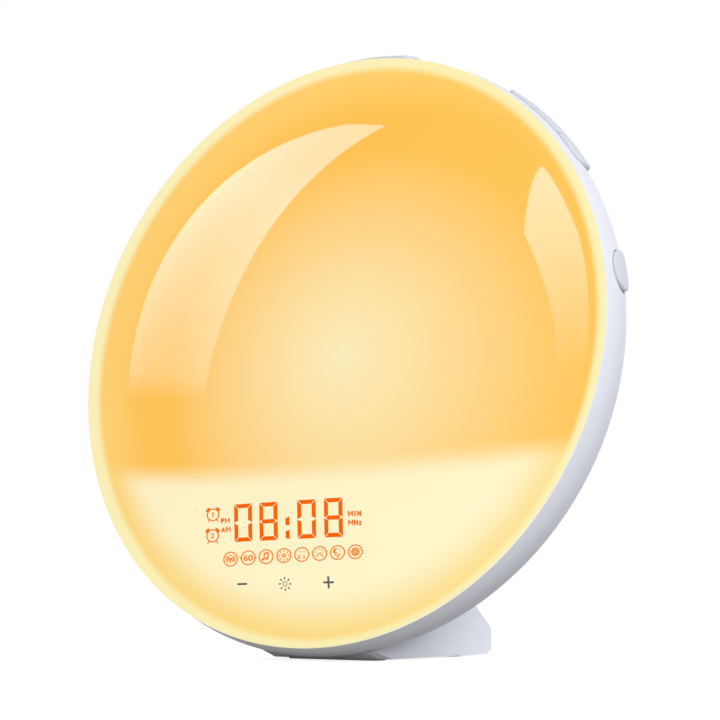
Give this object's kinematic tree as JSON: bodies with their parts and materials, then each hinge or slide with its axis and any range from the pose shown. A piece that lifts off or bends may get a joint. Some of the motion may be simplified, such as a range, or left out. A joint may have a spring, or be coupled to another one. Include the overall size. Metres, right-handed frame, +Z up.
{
  "type": "sunrise alarm clock",
  "caption": "Round sunrise alarm clock: domed lit lens with a display window, white rear shell with push buttons round its edge, on a wedge foot.",
  "frame": {"origin": "on the table under the middle of the clock, at the centre of the bounding box in X and Y, at the bottom of the rubber pads", "axes": "+Z up, the face looks along -Y and leans back 7 degrees, +X to the right as one looks at the face"},
  "size_m": [0.1848, 0.0754, 0.1854],
  "materials": {
    "lens": "glossy opal acrylic, lit from behind in warm yellow",
    "shell": "fine satin moulded ABS, cool white",
    "keys": "satin moulded ABS, cool white",
    "plungers": "moulded, dark grey",
    "foot_rubber": "matt grey",
    "tray": "matt reflecting white",
    "board": "green solder mask",
    "led": "yellow phosphor",
    "dark_plastic": "matt black",
    "segments": "lit orange",
    "steel": "plated",
    "capacitor": "bare can",
    "cone": "pressed paper",
    "cable": "light grey insulation"
  },
  "bodies": {
    "root": {"antenna_grommet": "foot_rubber", "board_screws": "steel", "capacitors": "capacitor", "cell_contact": "steel", "cell_holder": "dark_plastic", "charging_socket": "steel", "chips": "dark_plastic", "coin_cell": "steel", "digit_block": "dark_plastic", "digit_segments": "segments", "display_baffle": "tray", "display_board": "board", "foot_pads": "foot_rubber", "foot_screws": "steel", "front_lens": "lens", "icon_leds": "led", "icon_light_guide": "dark_plastic", "inlet_pin": "steel", "lamp_board": "board", "lamp_leds": "led", "main_board": "board", "power_inlet": "dark_plastic", "rear_shell": "shell", "reflector_tray": "tray", "ribbon_cable": "cable", "shell_screws": "steel", "socket_tongue": "dark_plastic", "speaker_cone": "cone", "speaker_frame": "dark_plastic", "speaker_gasket": "foot_rubber", "speaker_leads": "cable", "speaker_magnet": "steel", "speaker_screws": "steel", "stand_foot": "shell", "switch_boards": "board", "tact_switches": "dark_plastic", "touch_pads": "steel"},
    "snooze_key": {"snooze_key": "keys", "snooze_plunger": "plungers"},
    "left_key_1": {"left_key_1": "keys", "left_plunger_1": "plungers"},
    "left_key_2": {"left_key_2": "keys", "left_plunger_2": "plungers"},
    "left_key_3": {"left_key_3": "keys", "left_plunger_3": "plungers"},
    "right_key_1": {"right_key_1": "keys", "right_plunger_1": "plungers"},
    "right_key_2": {"right_key_2": "keys", "right_plunger_2": "plungers"},
    "right_key_3": {"right_key_3": "keys", "right_plunger_3": "plungers"},
    "left_side_key": {"left_side_key": "keys", "left_side_plunger": "plungers"},
    "right_side_key": {"right_side_key": "keys", "right_side_plunger": "plungers"},
    "cell_cover": {"cell_cover": "shell"}
  },
  "joints": [
    {"name": "snooze_key_press", "type": "slide", "parent": "root", "child": "snooze_key", "axis": [0, -0.1219, -0.9925], "range_m": [0, 0.0008], "stiffness_N_per_m": 1500},
    {"name": "right_key_1_press", "type": "slide", "parent": "root", "child": "right_key_1", "axis": [-0.766, -0.0783, -0.638], "range_m": [0, 0.0008], "stiffness_N_per_m": 1500},
    {"name": "right_key_2_press", "type": "slide", "parent": "root", "child": "right_key_2", "axis": [-0.766, -0.0783, -0.638], "range_m": [0, 0.0008], "stiffness_N_per_m": 1500},
    {"name": "right_key_3_press", "type": "slide", "parent": "root", "child": "right_key_3", "axis": [-0.766, -0.0783, -0.638], "range_m": [0, 0.0008], "stiffness_N_per_m": 1500},
    {"name": "right_side_key_press", "type": "slide", "parent": "root", "child": "right_side_key", "axis": [-0.9893, -0.0178, -0.145], "range_m": [0, 0.0008], "stiffness_N_per_m": 1500},
    {"name": "left_key_1_press", "type": "slide", "parent": "root", "child": "left_key_1", "axis": [0.766, -0.0783, -0.638], "range_m": [0, 0.0008], "stiffness_N_per_m": 1500},
    {"name": "left_key_2_press", "type": "slide", "parent": "root", "child": "left_key_2", "axis": [0.766, -0.0783, -0.638], "range_m": [0, 0.0008], "stiffness_N_per_m": 1500},
    {"name": "left_key_3_press", "type": "slide", "parent": "root", "child": "left_key_3", "axis": [0.766, -0.0783, -0.638], "range_m": [0, 0.0008], "stiffness_N_per_m": 1500},
    {"name": "left_side_key_press", "type": "slide", "parent": "root", "child": "left_side_key", "axis": [0.9893, -0.0178, -0.145], "range_m": [0, 0.0008], "stiffness_N_per_m": 1500},
    {"name": "cell_cover_turn", "type": "hinge", "parent": "root", "child": "cell_cover", "pos_m": [-0.02, 0.00905, 0.06126], "axis": [0, -0.9925, 0.1219], "range_deg": [0, 40]}
  ]
}
